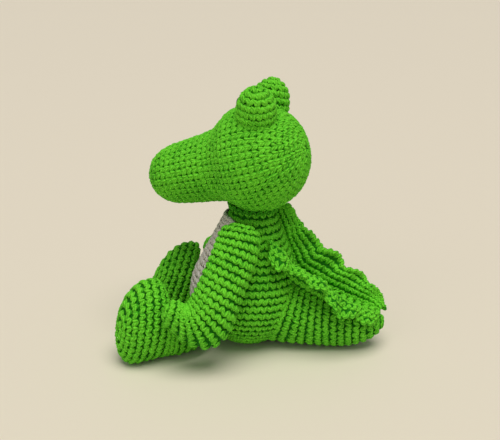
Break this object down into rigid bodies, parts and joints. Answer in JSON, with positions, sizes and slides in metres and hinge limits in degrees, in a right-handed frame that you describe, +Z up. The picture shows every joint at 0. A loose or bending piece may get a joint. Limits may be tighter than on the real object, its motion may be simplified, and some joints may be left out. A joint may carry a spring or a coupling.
{
  "type": "crocheted crocodile",
  "caption": "Sitting stuffed crocodile crocheted in green yarn: long snout, raised eye mounds, grey belly patch, ruffled frills along back and tail, limbs and tail that move at their seams.",
  "frame": {"origin": "on the surface that the toy sits on, at the flat seat under the torso", "axes": "-Z is the way the seat faces, +Z up; the toy faces -Y and its own left side is +X"},
  "size_m": [0.1349, 0.1755, 0.1801],
  "materials": {
    "green_yarn": "crocheted worsted yarn, bright green, single crochet rounds",
    "patch_yarn": "crocheted worsted yarn, warm light grey",
    "filling": "white polyester fibre filling",
    "black_eye": "moulded, polished black",
    "eye_washer": "moulded, natural white"
  },
  "bodies": {
    "torso": {"torso_cover": "green_yarn", "torso_stuffing": "filling", "belly_patch": "patch_yarn", "left_back_frill": "green_yarn", "right_back_frill": "green_yarn"},
    "neck": {"neck_seam": "green_yarn"},
    "head": {"head_cover": "green_yarn", "head_stuffing": "filling", "left_eye_mound": "green_yarn", "right_eye_mound": "green_yarn", "left_mound_stuffing": "filling", "right_mound_stuffing": "filling", "left_eye": "black_eye", "right_eye": "black_eye", "left_eye_washer": "eye_washer", "right_eye_washer": "eye_washer"},
    "left_arm": {"left_arm_cover": "green_yarn", "left_arm_stuffing": "filling"},
    "right_arm": {"right_arm_cover": "green_yarn", "right_arm_stuffing": "filling"},
    "left_leg": {"left_leg_cover": "green_yarn", "left_leg_stuffing": "filling"},
    "right_leg": {"right_leg_cover": "green_yarn", "right_leg_stuffing": "filling"},
    "tail": {"tail_cover": "green_yarn", "tail_stuffing": "filling", "left_tail_frill": "green_yarn", "right_tail_frill": "green_yarn"}
  },
  "joints": [
    {"name": "head_turn", "type": "hinge", "parent": "torso", "child": "neck", "pos_m": [0, 0.00586, 0.13082], "axis": [0, 0.061, 0.9981], "range_deg": [-35, 45]},
    {"name": "head_nod", "type": "hinge", "parent": "neck", "child": "head", "pos_m": [0, 0.00586, 0.13082], "axis": [0.9877, -0.1564, 0], "range_deg": [-20, 0]},
    {"name": "left_arm_raise", "type": "hinge", "parent": "torso", "child": "left_arm", "pos_m": [0.03, 0, 0.086], "axis": [0, -1, 0], "range_deg": [0, 65]},
    {"name": "right_arm_raise", "type": "hinge", "parent": "torso", "child": "right_arm", "pos_m": [-0.03, 0, 0.086], "axis": [0, 1, 0], "range_deg": [0, 63]},
    {"name": "left_leg_splay", "type": "hinge", "parent": "torso", "child": "left_leg", "pos_m": [0.028, -0.0386, 0.0144], "axis": [0, 0, 1], "range_deg": [-35, 2]},
    {"name": "right_leg_splay", "type": "hinge", "parent": "torso", "child": "right_leg", "pos_m": [-0.0325, -0.033, 0.0144], "axis": [0, 0, -1], "range_deg": [-4, 20]},
    {"name": "tail_wag", "type": "hinge", "parent": "torso", "child": "tail", "pos_m": [0, 0, 0.035], "axis": [0, 0, 1], "range_deg": [-20, 20]}
  ]
}
